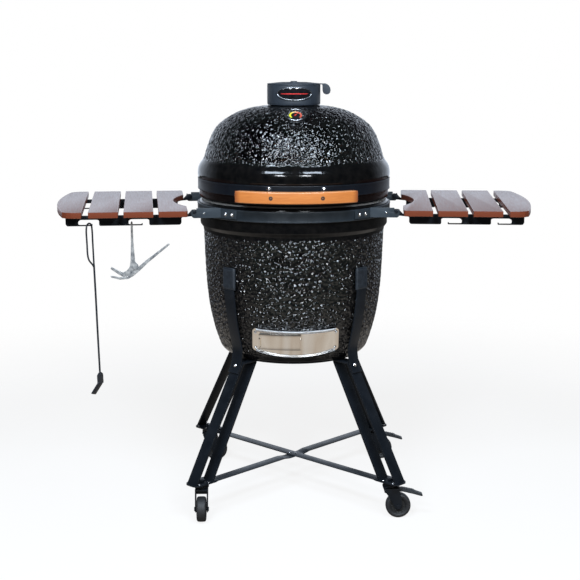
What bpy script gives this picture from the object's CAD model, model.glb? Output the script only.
import math

import bmesh
import bpy
import numpy as np
from mathutils import Matrix, Vector, noise


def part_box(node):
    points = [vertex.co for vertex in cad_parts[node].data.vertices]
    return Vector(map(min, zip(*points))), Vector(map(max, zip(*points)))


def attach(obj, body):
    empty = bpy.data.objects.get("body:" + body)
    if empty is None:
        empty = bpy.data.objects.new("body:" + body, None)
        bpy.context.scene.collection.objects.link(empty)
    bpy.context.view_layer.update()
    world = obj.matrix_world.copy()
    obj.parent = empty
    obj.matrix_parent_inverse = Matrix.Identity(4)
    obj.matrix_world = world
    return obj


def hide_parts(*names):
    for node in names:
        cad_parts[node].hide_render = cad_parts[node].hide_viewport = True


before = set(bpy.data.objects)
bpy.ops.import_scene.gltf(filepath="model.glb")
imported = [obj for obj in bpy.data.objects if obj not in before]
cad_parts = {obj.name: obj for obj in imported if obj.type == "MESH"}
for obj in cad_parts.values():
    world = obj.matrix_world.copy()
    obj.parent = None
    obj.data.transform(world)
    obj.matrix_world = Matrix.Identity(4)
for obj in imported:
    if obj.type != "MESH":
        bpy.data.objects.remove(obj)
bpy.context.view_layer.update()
_lo, _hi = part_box("base_gasket")
DY = (_lo.y + _hi.y) * 500.0  # the ceramic body's axis, in millimetres along Y
RNG = np.random.RandomState(7)


# ------------------------------------------------------------------ mesh helpers
def turn(deg, axis="Z"):
    return Matrix.Rotation(math.radians(deg), 4, axis)


def shift(x=0.0, y=0.0, z=0.0):
    return Matrix.Translation((x, y, z))


def apply_matrix(v, m):
    v = np.asarray(v, float)
    if m is None:
        return v
    a = np.array(m, float)
    return v @ a[:3, :3].T + a[:3, 3]


def merge(*meshes):
    """Joins (verts, faces) pairs into one."""
    verts, faces, n = [], [], 0
    for v, f in meshes:
        verts.append(np.asarray(v, float))
        faces += [[i + n for i in face] for face in f]
        n += len(v)
    return np.vstack(verts), faces


def bevelled(v, f, width=0.6, segments=2, angle=28.0, weld=False):
    """Rounds every edge sharper than angle, and turns all faces outward."""
    bm = bmesh.new()
    vs = [bm.verts.new(p) for p in np.asarray(v, float).tolist()]
    for face in f:
        try:
            bm.faces.new([vs[i] for i in face])
        except ValueError:
            pass
    if weld:
        bmesh.ops.remove_doubles(bm, verts=bm.verts, dist=0.01)
    bmesh.ops.recalc_face_normals(bm, faces=bm.faces)
    if width > 0:
        limit = math.radians(angle)
        edges = [e for e in bm.edges if len(e.link_faces) == 2 and e.calc_face_angle(0.0) > limit]
        if edges:
            bmesh.ops.bevel(bm, geom=edges, offset=width, segments=segments, profile=0.55, affect="EDGES", clamp_overlap=True)
            bmesh.ops.recalc_face_normals(bm, faces=bm.faces)
    bm.verts.index_update()
    out_v = np.array([p.co[:] for p in bm.verts], float)
    out_f = [[p.index for p in face.verts] for face in bm.faces]
    bm.free()
    return out_v, out_f


def fillet(points, radius=1.0, steps=4, closed=True):
    """Rounds the corners of a 2D polyline. A point may carry its own radius as a third number."""
    pts = [(p[0], p[1], p[2] if len(p) > 2 else radius) for p in points]
    n, out = len(pts), []
    for i, (x, y, r) in enumerate(pts):
        if (not closed and i in (0, n - 1)) or r <= 0:
            out.append((x, y))
            continue
        a, b = pts[i - 1], pts[(i + 1) % n]
        la, lb = math.hypot(a[0] - x, a[1] - y), math.hypot(b[0] - x, b[1] - y)
        if la < 1e-6 or lb < 1e-6:
            continue
        da, db = ((a[0] - x) / la, (a[1] - y) / la), ((b[0] - x) / lb, (b[1] - y) / lb)
        cosine = max(-1.0, min(1.0, da[0] * db[0] + da[1] * db[1]))
        half = math.acos(cosine) / 2
        t = min(r / max(math.tan(half), 1e-3), 0.46 * la, 0.46 * lb)
        if half > math.radians(88.5):
            out.append((x, y))
            continue
        p0, p1 = (x + da[0] * t, y + da[1] * t), (x + db[0] * t, y + db[1] * t)
        for k in range(steps + 1):
            s = k / steps
            out.append(
                (
                    (1 - s) ** 2 * p0[0] + 2 * s * (1 - s) * x + s * s * p1[0],
                    (1 - s) ** 2 * p0[1] + 2 * s * (1 - s) * y + s * s * p1[1],
                )
            )
    clean = []
    for p in out:
        if not clean or math.hypot(p[0] - clean[-1][0], p[1] - clean[-1][1]) > 0.02:
            clean.append(p)
    if closed and math.hypot(clean[0][0] - clean[-1][0], clean[0][1] - clean[-1][1]) < 0.02:
        clean.pop()
    return clean


def spline(points, spacing):
    """A smooth curve through points (any dimension), resampled at about the spacing given."""
    p = np.asarray(points, float)
    p = np.vstack([2 * p[0] - p[1], p, 2 * p[-1] - p[-2]])
    dense = []
    for i in range(1, len(p) - 2):
        p0, p1, p2, p3 = p[i - 1], p[i], p[i + 1], p[i + 2]
        t01, t12, t23 = (max(np.linalg.norm(b - a), 1e-6) ** 0.5 for a, b in ((p0, p1), (p1, p2), (p2, p3)))
        m1 = p2 - p1 + t12 * ((p1 - p0) / t01 - (p2 - p0) / (t01 + t12))
        m2 = p2 - p1 + t12 * ((p3 - p2) / t23 - (p3 - p1) / (t12 + t23))
        for k in range(24):
            s = k / 24
            dense.append(
                (2 * s**3 - 3 * s**2 + 1) * p1 + (s**3 - 2 * s**2 + s) * m1 + (-2 * s**3 + 3 * s**2) * p2 + (s**3 - s**2) * m2
            )
    dense.append(p[-2])
    dense = np.array(dense)
    length = np.concatenate([[0], np.cumsum(np.linalg.norm(np.diff(dense, axis=0), axis=1))])
    n = max(2, int(round(length[-1] / spacing)) + 1)
    at = np.linspace(0, length[-1], n)
    return np.stack([np.interp(at, length, dense[:, k]) for k in range(dense.shape[1])], 1)


def prism(outline, a, b, plane="XY"):
    """A flat outline pushed from a to b along the third axis."""
    n = len(outline)
    place = {"XY": lambda u, v, w: (u, v, w), "XZ": lambda u, v, w: (u, w, v), "YZ": lambda u, v, w: (w, u, v)}[plane]
    v = [place(p[0], p[1], a) for p in outline] + [place(p[0], p[1], b) for p in outline]
    f = [list(range(n))[::-1], list(range(n, 2 * n))] + [[i, (i + 1) % n, n + (i + 1) % n, n + i] for i in range(n)]
    return np.array(v, float), f


def block(x0, x1, y0, y1, z0, z1):
    return prism([(x0, y0), (x1, y0), (x1, y1), (x0, y1)], z0, z1)


def lathe(profile, seg=96, closed=False, start=-90.0):
    """Turns [height, radius] rows round Z. An open profile that ends on the axis closes there."""
    v, rows = [], []
    ang = [math.radians(start + 360.0 * j / seg) for j in range(seg)]
    for z, r in [(p[0], p[1]) for p in profile]:
        if r < 1e-6:
            rows.append([len(v)])
            v.append((0, 0, z))
        else:
            rows.append(list(range(len(v), len(v) + seg)))
            v += [(r * math.cos(a), r * math.sin(a), z) for a in ang]
    f = []
    for i in range(len(rows) if closed else len(rows) - 1):
        a, b = rows[i], rows[(i + 1) % len(rows)]
        for j in range(seg):
            k = (j + 1) % seg
            if len(a) == 1 and len(b) == 1:
                continue
            if len(a) == 1:
                f.append([a[0], b[k], b[j]])
            elif len(b) == 1:
                f.append([a[j], a[k], b[0]])
            else:
                f.append([a[j], a[k], b[k], b[j]])
    return np.array(v, float), f


def cyl(p0, p1, r, sides=24, bevel=0.0, r1=None):
    """A round bar between two points, with rounded rims when bevel is given."""
    a, b = Vector(p0), Vector(p1)
    length = (b - a).length
    r1 = r if r1 is None else r1
    if bevel:
        prof = [(0, 0)] + fillet([(0, 0), (0, r), (length, r1), (length, 0)], bevel, 3, closed=False)[1:-1] + [(length, 0)]
    else:
        prof = [(0, 0), (0, r), (length, r1), (length, 0)]
    v, f = lathe(prof, sides)
    q = Vector((0, 0, 1)).rotation_difference((b - a).normalized()).to_matrix().to_4x4()
    return apply_matrix(v, shift(*a) @ q), f


def tube(points, r, sides=10, closed=False):
    """A round wire through points, with no twist."""
    p = np.asarray(points, float)
    n = len(p)
    tangent = np.zeros_like(p)
    for i in range(n):
        a = p[(i - 1) % n] if closed or i > 0 else p[0]
        b = p[(i + 1) % n] if closed or i < n - 1 else p[-1]
        d = b - a
        tangent[i] = d / max(np.linalg.norm(d), 1e-9)
    up = np.array([0, 0, 1.0]) if abs(tangent[0][2]) < 0.9 else np.array([1.0, 0, 0])
    normal = np.cross(tangent[0], up)
    normal /= np.linalg.norm(normal)
    normals = [normal]
    for i in range(1, n):
        m = normals[-1] - tangent[i] * np.dot(normals[-1], tangent[i])
        normals.append(m / max(np.linalg.norm(m), 1e-9))
    twist = 0.0
    if closed:
        m = normals[-1] - tangent[0] * np.dot(normals[-1], tangent[0])
        m /= np.linalg.norm(m)
        twist = math.atan2(np.dot(np.cross(m, normals[0]), tangent[0]), np.dot(m, normals[0]))
    radius = r if hasattr(r, "__len__") else [r] * n
    v, f = [], []
    for i in range(n):
        side = np.cross(tangent[i], normals[i])
        for k in range(sides):
            a = 2 * math.pi * k / sides + twist * i / n
            v.append(p[i] + radius[i] * (math.cos(a) * normals[i] + math.sin(a) * side))
    for i in range(n if closed else n - 1):
        j = (i + 1) % n
        for k in range(sides):
            m = (k + 1) % sides
            f.append([i * sides + k, i * sides + m, j * sides + m, j * sides + k])
    if not closed:
        f += [list(range(sides))[::-1], [(n - 1) * sides + k for k in range(sides)]]
    return np.array(v), f


def piece(name, mesh, mats, body, xf=None, face_mat=None, sharp=34.0, replaces=(), slot=None, grain=None, attrs=None, noise_seed=None):
    """Makes the object. mesh is (verts, faces) in millimetres, xf places it, and the unplaced coordinates are kept as the attribute gc."""
    v, f = mesh
    local = np.asarray(v, float) if grain is None else np.asarray(grain, float)
    world = (apply_matrix(v, xf) + (0, DY, 0)) / 1000.0
    me = bpy.data.meshes.new(name)
    me.from_pydata(world.tolist(), [], f)
    me.update()
    gc = me.attributes.new("gc", "FLOAT_VECTOR", "POINT")
    offset = RNG.uniform(0, 3, 3) if noise_seed is None else np.array([noise_seed, noise_seed * 1.7, noise_seed * 0.6])
    if noise_seed == 0:
        offset = np.zeros(3)
    gc.data.foreach_set("vector", (local / 1000.0 + offset).astype(np.float32).ravel())
    for key, values in (attrs or {}).items():
        a = me.attributes.new(key, "FLOAT", "POINT")
        a.data.foreach_set("value", np.asarray(values, np.float32))
    for m in mats if isinstance(mats, (list, tuple)) else [mats]:
        me.materials.append(m)
    me.polygons.foreach_set("use_smooth", [True] * len(me.polygons))
    if face_mat is not None:
        me.polygons.foreach_set("material_index", face_mat)
    if sharp:
        me.set_sharp_from_angle(angle=math.radians(sharp))
    me.update()
    o = bpy.data.objects.new(name, me)
    bpy.context.scene.collection.objects.link(o)
    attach(o, body)
    if replaces:
        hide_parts(*replaces)
    return o


def cut_holes(mesh, cutters):
    """mesh minus each closed cutter, as (verts, faces)."""

    def temp(m):
        me = bpy.data.meshes.new("tmp")
        me.from_pydata(np.asarray(m[0]).tolist(), [], m[1])
        me.update()
        bm = bmesh.new()
        bm.from_mesh(me)
        bmesh.ops.recalc_face_normals(bm, faces=bm.faces)
        bm.to_mesh(me)
        bm.free()
        o = bpy.data.objects.new("tmp", me)
        bpy.context.scene.collection.objects.link(o)
        return o

    o = temp(mesh)
    cs = [temp(c) for c in cutters]
    for c in cs:
        m = o.modifiers.new("cut", "BOOLEAN")
        m.operation, m.solver, m.object = "DIFFERENCE", "EXACT", c
    bpy.context.view_layer.update()
    result = bpy.data.meshes.new_from_object(o.evaluated_get(bpy.context.evaluated_depsgraph_get()))
    v = np.array([p.co[:] for p in result.vertices], float)
    f = [list(p.vertices) for p in result.polygons]
    for x in [o] + cs:
        data = x.data
        bpy.data.objects.remove(x)
        bpy.data.meshes.remove(data)
    bpy.data.meshes.remove(result)
    return v, f


# ------------------------------------------------------------------ materials
class Mat:
    """A short way to write a node material."""

    def __init__(self, name):
        self.m = bpy.data.materials.new(name)
        self.m.use_nodes = True
        self.t = self.m.node_tree
        self.t.nodes.clear()
        self.out = self.t.nodes.new("ShaderNodeOutputMaterial")

    def n(self, kind, ins=None, **props):
        node = self.t.nodes.new("ShaderNode" + kind)
        for k, val in props.items():
            setattr(node, k, val)
        for k, val in (ins or {}).items():
            self.set(node, k, val)
        return node

    def set(self, node, key, val):
        if isinstance(val, tuple) and len(val) == 2 and hasattr(val[0], "outputs"):
            self.t.links.new(val[0].outputs[val[1]], node.inputs[key])
        elif hasattr(val, "outputs"):
            self.t.links.new(val.outputs[0], node.inputs[key])
        else:
            sock = node.inputs[key]
            if hasattr(sock.default_value, "__len__") and not hasattr(val, "__len__"):
                val = [val] * len(sock.default_value)
            if hasattr(sock.default_value, "__len__") and len(sock.default_value) == 4 and len(val) == 3:
                val = tuple(val) + (1.0,)
            sock.default_value = val

    def coords(self, scale=(1, 1, 1), attribute="gc"):
        a = self.n("Attribute", attribute_name=attribute)
        return self.n("Mapping", {"Vector": (a, "Vector"), "Scale": scale})

    def noise(self, vector, scale, detail=3.0, rough=0.55, distortion=0.0):
        return self.n("TexNoise", {"Vector": vector, "Scale": scale, "Detail": detail, "Roughness": rough, "Distortion": distortion})

    def ramp(self, fac, stops, interpolation="LINEAR"):
        r = self.n("ValToRGB")
        self.set(r, "Fac", fac)
        cr = r.color_ramp
        cr.interpolation = interpolation
        while len(cr.elements) < len(stops):
            cr.elements.new(0.5)
        for e, (pos, col) in zip(cr.elements, stops):
            e.position = pos
            e.color = tuple(col) + (1.0,) if len(col) == 3 else col
        return r

    def math(self, op, a, b=0.0, clamp=False):
        node = self.n("Math", operation=op, use_clamp=clamp)
        self.set(node, 0, a)
        self.set(node, 1, b)
        return node

    def mix(self, fac, a, b, blend="MIX"):
        node = self.n("MixRGB", blend_type=blend)
        self.set(node, "Fac", fac)
        self.set(node, "Color1", a)
        self.set(node, "Color2", b)
        return node

    def bump(self, height, strength=0.2, distance=0.001, normal=None):
        node = self.n("Bump", {"Strength": strength, "Distance": distance, "Height": height})
        if normal is not None:
            self.set(node, "Normal", normal)
        return node

    def principled(self, **ins):
        names = {
            "color": "Base Color", "rough": "Roughness", "metal": "Metallic", "ior": "IOR", "normal": "Normal",
            "coat": "Coat Weight", "coat_rough": "Coat Roughness", "spec": "Specular IOR Level", "sheen": "Sheen Weight",
            "aniso": "Anisotropic", "alpha": "Alpha", "trans": "Transmission Weight", "coat_ior": "Coat IOR",
        }
        b = self.n("BsdfPrincipled")
        for k, val in ins.items():
            self.set(b, names[k], val)
        self.t.links.new(b.outputs[0], self.out.inputs["Surface"])
        return b


def make_glaze():
    m = Mat("black_glaze")
    c = m.coords()
    peb = m.n("Attribute", attribute_name="pebble")
    tone = m.noise(c, 60, 3)
    color = m.ramp(tone, [(0.3, (0.0016, 0.0017, 0.0020)), (0.75, (0.0055, 0.0050, 0.0048))])
    fine = m.noise(c, 420, 2)
    rough_peb = m.ramp(fine, [(0.3, (0.06,) * 3), (0.8, (0.12,) * 3)])
    rough = m.mix((peb, "Fac"), m.ramp(fine, [(0.3, (0.09,) * 3), (0.8, (0.15,) * 3)]), rough_peb)
    wobble = m.n("TexNoise", {"Vector": c, "Scale": 70.0, "Detail": 1.0})
    bent = m.n("VectorMath", {0: c, 1: m.n("VectorMath", {0: (wobble, "Color"), "Scale": 0.009}, operation="SCALE")}, operation="ADD")
    cell = m.n("TexVoronoi", {"Vector": bent, "Scale": 88.0, "Randomness": 1.0}, feature="F1")
    span = m.math("MINIMUM", m.math("DIVIDE", (cell, "Distance"), 0.74), 1.0)
    flat_h = m.math("SUBTRACT", 1.0, m.math("MULTIPLY", span, span))
    dome_h = m.math("MULTIPLY", flat_h, flat_h)
    rough_h = m.math("ADD", dome_h, m.math("MULTIPLY", m.noise(c, 170, 1), 0.4))
    height = m.math("MULTIPLY", rough_h, (peb, "Fac"))
    orange = m.noise(c, 30, 2)
    b1 = m.bump(height, 1.0, 0.0040)
    b2 = m.bump(orange, 0.22, 0.004, b1)
    gloss = m.ramp((peb, "Fac"), [(0.0, (0.24,) * 3), (1.0, (0.58,) * 3)])
    m.principled(color=color, rough=rough, ior=1.5, spec=gloss, normal=b2, coat=m.math("MULTIPLY", (peb, "Fac"), 0.15), coat_rough=0.04)
    return m.m


def make_powder(name, dark, light, rough=0.42, grain=2600.0, strength=0.10, metal=0.0, ior=1.5, spec=0.5):
    m = Mat(name)
    c = m.coords()
    cloud = m.noise(c, 28, 4)
    color = m.ramp(cloud, [(0.3, dark), (0.72, light)])
    g = m.noise(c, grain, 2)
    r = m.ramp(cloud, [(0.25, (rough - 0.05,) * 3), (0.8, (rough + 0.08,) * 3)])
    wear = m.n("NewGeometry")
    edge = m.ramp((wear, "Pointiness"), [(0.5, (0, 0, 0)), (0.58, (1, 1, 1))])
    worn = m.mix(m.math("MULTIPLY", edge, 0.35), color, tuple(min(1.0, x * 2.6 + 0.01) for x in light) + (1.0,))
    m.principled(color=worn, rough=r, metal=metal, ior=ior, spec=spec, normal=m.bump(g, strength, 0.0004))
    return m.m


def make_bar_wood():
    m = Mat("honey_wood")
    long = m.coords((5, 90, 90))
    strips = m.coords((0.6, 1, 60))
    g1 = m.noise(long, 6.0, 6, 0.62, 0.6)
    g2 = m.noise(m.coords((12, 700, 700)), 1.0, 3)
    lam = m.noise(strips, 2.0, 1)
    mixed = m.math("ADD", m.math("MULTIPLY", g1, 0.7), m.math("MULTIPLY", g2, 0.3))
    base = m.ramp(mixed, [(0.28, (0.30, 0.085, 0.012)), (0.48, (0.44, 0.130, 0.020)), (0.62, (0.52, 0.175, 0.032)), (0.8, (0.60, 0.24, 0.055))])
    tint = m.mix(m.math("MULTIPLY", lam, 0.35), base, (0.48, 0.13, 0.02, 1))
    geo = m.n("NewGeometry")
    sep = m.n("SeparateXYZ", {"Vector": (geo, "Normal")})
    up = m.ramp((sep, "Z"), [(0.25, (0, 0, 0)), (0.85, (1, 1, 1))])
    worn = m.mix(m.math("MULTIPLY", up, 0.5), tint, (0.60, 0.28, 0.13, 1))
    edge = m.ramp((geo, "Pointiness"), [(0.5, (0, 0, 0)), (0.56, (1, 1, 1))])
    final = m.mix(m.math("MULTIPLY", edge, 0.5), worn, (0.62, 0.30, 0.13, 1))
    along = m.n("SeparateXYZ", {"Vector": (m.n("Attribute", attribute_name="gc"), "Vector")})
    ends = m.ramp(m.math("ABSOLUTE", (along, "X")), [(0.146, (0, 0, 0)), (0.158, (1, 1, 1))])
    final = m.mix(m.math("MULTIPLY", ends, 0.75), final, (0.20, 0.040, 0.009, 1))
    m.principled(color=final, rough=0.38, coat=0.25, coat_rough=0.2, normal=m.bump(mixed, 0.25, 0.0005))
    return m.m


def make_slat_wood():
    m = Mat("red_brown_wood")
    g1 = m.noise(m.coords((4, 80, 80)), 5.0, 6, 0.6, 0.5)
    g2 = m.noise(m.coords((14, 900, 900)), 1.0, 3)
    strips = m.n("TexVoronoi", {"Vector": m.coords((0.8, 60, 60)), "Scale": 1.0}, feature="F1")
    mixed = m.math("ADD", m.math("MULTIPLY", g1, 0.65), m.math("MULTIPLY", g2, 0.35))
    base = m.ramp(mixed, [(0.28, (0.035, 0.008, 0.004)), (0.5, (0.085, 0.020, 0.010)), (0.72, (0.15, 0.042, 0.020))])
    band = m.mix(m.math("MULTIPLY", (strips, "Color"), 0.25), base, (0.13, 0.045, 0.028, 1))
    geo = m.n("NewGeometry")
    sep = m.n("SeparateXYZ", {"Vector": (geo, "Normal")})
    side = m.ramp(m.math("ABSOLUTE", (sep, "Z")), [(0.3, (1, 1, 1)), (0.8, (0, 0, 0))])
    endgrain = m.mix(m.math("MULTIPLY", side, 0.85), band, m.mix(m.math("MULTIPLY", g2, 0.9), (0.085, 0.017, 0.007, 1), (0.17, 0.036, 0.014, 1)))
    edge = m.ramp((geo, "Pointiness"), [(0.5, (0, 0, 0)), (0.57, (1, 1, 1))])
    final = m.mix(m.math("MULTIPLY", edge, 0.25), endgrain, (0.26, 0.09, 0.05, 1))
    m.principled(color=final, rough=m.ramp(g1, [(0.3, (0.30,) * 3), (0.75, (0.44,) * 3)]), ior=1.5, spec=m.ramp(side, [(0.0, (0.5,) * 3), (1.0, (0.12,) * 3)]), normal=m.bump(mixed, 0.22, 0.0005), coat=m.math("MULTIPLY", m.math("SUBTRACT", 1.0, side), 0.45), coat_rough=0.20)
    return m.m


def make_steel(name, tint=(0.70, 0.67, 0.62), rough=0.2, brush=(3, 3, 900), bands=False):
    m = Mat(name)
    c = m.coords(brush)
    g = m.noise(c, 1.0, 3)
    dark = tuple(x * 0.86 for x in tint)
    color = m.ramp(g, [(0.3, dark), (0.7, tint)])
    if bands:
        b = m.noise(m.coords((6, 0.1, 0.8)), 2.2, 1.5, 0.5)
        band = m.ramp(b, [(0.30, (0.66, 0.60, 0.53)), (0.42, (0.90, 0.85, 0.78)), (0.5, (0.74, 0.66, 0.57)), (0.58, (0.93, 0.91, 0.88)), (0.70, (0.70, 0.65, 0.60))])
        color = m.mix(0.9, color, band)
    r = m.ramp(m.noise(m.coords(), 70, 4), [(0.3, (rough * 0.8,) * 3), (0.75, (rough * 1.5,) * 3)])
    m.principled(color=color, metal=1.0, rough=r, normal=m.bump(g, 0.06, 0.0003))
    return m.m


def make_chrome(name="chrome", tint=(0.86, 0.87, 0.89), rough=0.07):
    m = Mat(name)
    c = m.coords()
    r = m.ramp(m.noise(c, 180, 4), [(0.35, (rough,) * 3), (0.8, (rough * 2.4,) * 3)])
    color = m.ramp(m.noise(c, 40, 2), [(0.3, tuple(x * 0.93 for x in tint)), (0.8, tint)])
    m.principled(color=color, metal=1.0, rough=r, normal=m.bump(m.noise(c, 900, 2), 0.03, 0.0002))
    return m.m


def make_clay():
    m = Mat("fired_clay")
    c = m.coords()
    n1 = m.noise(c, 24, 6, 0.65)
    color = m.ramp(n1, [(0.28, (0.26, 0.20, 0.145)), (0.55, (0.42, 0.34, 0.255)), (0.8, (0.50, 0.43, 0.34))])
    pore = m.n("TexVoronoi", {"Vector": c, "Scale": 420.0})
    spots = m.ramp((pore, "Distance"), [(0.0, (0.2, 0.2, 0.2)), (0.22, (1, 1, 1))])
    m.principled(color=m.mix(0.5, color, spots, "MULTIPLY"), rough=0.92, normal=m.bump(m.noise(c, 600, 4), 0.4, 0.0009))
    return m.m


def make_felt():
    m = Mat("gasket_felt")
    c = m.coords()
    n1 = m.noise(c, 900, 4, 0.7, 1.0)
    color = m.ramp(n1, [(0.3, (0.05, 0.047, 0.044)), (0.7, (0.17, 0.16, 0.15))])
    m.principled(color=color, rough=0.98, sheen=0.4, normal=m.bump(n1, 0.7, 0.001))
    return m.m


def make_rubber(name, dark, light, rough=0.7):
    m = Mat(name)
    c = m.coords()
    n1 = m.noise(c, 90, 5)
    color = m.ramp(n1, [(0.3, dark), (0.75, light)])
    m.principled(color=color, rough=m.ramp(n1, [(0.3, (rough - 0.08,) * 3), (0.8, (min(1.0, rough + 0.12),) * 3)]), normal=m.bump(m.noise(c, 1500, 3), 0.15, 0.0005))
    return m.m


def make_plain(name, color_a, color_b, rough=0.4, scale=160.0, coat=0.0):
    m = Mat(name)
    c = m.coords()
    n1 = m.noise(c, scale, 3)
    m.principled(color=m.ramp(n1, [(0.3, color_a), (0.75, color_b)]), rough=m.ramp(n1, [(0.3, (rough * 0.85,) * 3), (0.8, (rough * 1.2,) * 3)]), coat=coat, coat_rough=0.05, normal=m.bump(m.noise(c, 1200, 2), 0.06, 0.0003))
    return m.m


def make_arc():
    """The dial's coloured scale: yellow on the left, through orange, to red on the right, by angle."""
    m = Mat("dial_scale")
    a = m.n("Attribute", attribute_name="gc")
    s = m.n("SeparateXYZ", {"Vector": (a, "Vector")})
    ang = m.math("ARCTAN2", (s, "X"), (s, "Y"))  # 0 at the top, positive to the right
    fac = m.math("ADD", m.math("MULTIPLY", ang, 1 / (2 * math.radians(140))), 0.5)
    color = m.ramp(fac, [(0.0, (0.62, 0.66, 0.02)), (0.28, (0.85, 0.72, 0.03)), (0.45, (0.85, 0.52, 0.25)), (0.60, (0.80, 0.20, 0.14)), (1.0, (0.42, 0.05, 0.03))])
    grain = m.noise(m.coords(), 900, 2)
    final = m.mix(m.math("MULTIPLY", grain, 0.12), color, (0.2, 0.05, 0.02, 1))
    m.principled(color=final, rough=0.4)
    return m.m


def make_lens():
    m = Mat("lens_glass")
    c = m.coords()
    f = m.ramp(m.noise(c, 40, 2), [(0.3, (0.03,) * 3), (0.8, (0.06,) * 3)])
    smear = m.ramp(m.noise(c, 60, 3), [(0.3, (0.02,) * 3), (0.8, (0.06,) * 3)])
    tr = m.n("BsdfTransparent", {"Color": (0.97, 0.98, 0.98, 1)})
    gl = m.n("BsdfGlossy", {"Roughness": smear, "Color": (1, 1, 1, 1)})
    mixn = m.n("MixShader", {0: f})
    m.t.links.new(tr.outputs[0], mixn.inputs[1])
    m.t.links.new(gl.outputs[0], mixn.inputs[2])
    m.t.links.new(mixn.outputs[0], m.out.inputs["Surface"])
    return m.m


GLAZE = make_glaze()
CLAY = make_clay()
BAND = make_powder("band_satin", (0.011, 0.0155, 0.020), (0.020, 0.026, 0.032), 0.36, 2200, 0.10, spec=0.4)
LIDBAND = make_powder("lid_band_satin", (0.0026, 0.0038, 0.0060), (0.0055, 0.0075, 0.011), 0.36, 2200, 0.10, spec=0.25)
BLACK = make_powder("frame_black", (0.0018, 0.0028, 0.0044), (0.0045, 0.0062, 0.0090), 0.38, 2400, 0.12, spec=0.22)
STRAP = make_powder("strap_grey", (0.007, 0.0085, 0.011), (0.015, 0.0175, 0.021), 0.36, 2400, 0.12, spec=0.4)
IRON = make_powder("cap_coating", (0.011, 0.0155, 0.022), (0.018, 0.024, 0.033), 0.52, 1500, 0.22, spec=0.45)
GRATE = make_powder("cast_iron", (0.022, 0.021, 0.021), (0.05, 0.048, 0.047), 0.7, 900, 0.4)
BARWOOD = make_bar_wood()
SLATWOOD = make_slat_wood()
PLATE = make_steel("polished_plate", (0.80, 0.74, 0.66), 0.13, (900, 900, 3), True)
LIP = make_steel("rolled_lip", (0.95, 0.96, 0.98), 0.52, (900, 900, 3))
LIP_LOW = make_steel("rolled_lip_low", (0.42, 0.42, 0.43), 0.34, (900, 900, 3))
STEEL = make_steel("stainless", (0.62, 0.61, 0.59), 0.22)
SCREEN = make_steel("screen_steel", (0.30, 0.30, 0.30), 0.4)
ZINC = make_steel("zinc", (0.60, 0.60, 0.60), 0.3, (400, 400, 400))
CHROME = make_chrome()
RIM = make_chrome("rim_chrome", (0.30, 0.31, 0.33), 0.22)
BRIGHT = make_chrome("bright_bolt", (0.92, 0.92, 0.93), 0.12)
FELT = make_felt()
def make_tyre():
    """Grey tread with darker side walls, told apart by the distance along the axle."""
    m = Mat("wheel_rubber")
    c = m.coords()
    a = m.n("Attribute", attribute_name="gc")
    n1 = m.noise(c, 90, 5)
    wall = m.ramp(m.math("ABSOLUTE", (m.n("SeparateXYZ", {"Vector": (a, "Vector")}), "Z")), [(0.0088, (0, 0, 0)), (0.0112, (1, 1, 1))])
    tread = m.ramp(n1, [(0.3, (0.030, 0.033, 0.036)), (0.75, (0.056, 0.060, 0.064))])
    dark = m.ramp(n1, [(0.3, (0.008, 0.008, 0.009)), (0.75, (0.018, 0.018, 0.019))])
    m.principled(color=m.mix(wall, tread, dark), rough=0.6, normal=m.bump(m.noise(c, 1500, 3), 0.15, 0.0005))
    return m.m


TYRE = make_tyre()
HUB = make_rubber("wheel_hub", (0.007, 0.0075, 0.008), (0.015, 0.016, 0.017), 0.5)
PADRUB = make_rubber("pad_rubber", (0.006, 0.009, 0.0135), (0.012, 0.017, 0.024), 0.55)
PEDAL = make_rubber("pedal_plastic", (0.008, 0.010, 0.0125), (0.020, 0.023, 0.027), 0.5)
ENAMEL = make_plain("badge_enamel", (0.004, 0.004, 0.005), (0.010, 0.010, 0.012), 0.12, 80, 0.6)
REDLINE = make_plain("red_enamel", (0.42, 0.02, 0.02), (0.55, 0.04, 0.035), 0.25, 300, 0.4)
DIAL = make_plain("dial_black", (0.006, 0.006, 0.007), (0.013, 0.013, 0.014), 0.45, 400)
WHITE = make_plain("dial_marks", (0.62, 0.62, 0.60), (0.75, 0.75, 0.73), 0.5, 900)
TOOLSTEEL = make_plain("plated_tool_steel", (0.075, 0.080, 0.088), (0.40, 0.39, 0.375), 0.25, 80, 0.5)
NEEDLE = make_plain("needle_red", (0.55, 0.03, 0.02), (0.70, 0.06, 0.04), 0.35, 500)
ARC = make_arc()
LENS = make_lens()

# ------------------------------------------------------------------ ceramic body
SEG_BODY = 760
STEP = 2.05


def pebbles(p):
    """Height in millimetres of the pebbled glaze at a point in millimetres, at most about zero."""
    q = Vector(p) / 8.0
    warp = noise.noise_vector(q * 0.6) * 0.6
    d = noise.voronoi(q + warp)[0]
    dome = 1.0 - min(1.0, (d[0] / 0.66)) ** 2
    return -1.7 + 1.5 * dome + 0.4 * noise.noise(Vector(p) / 15.0) + 0.25 * noise.noise(Vector(p) / 4.3)


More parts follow.
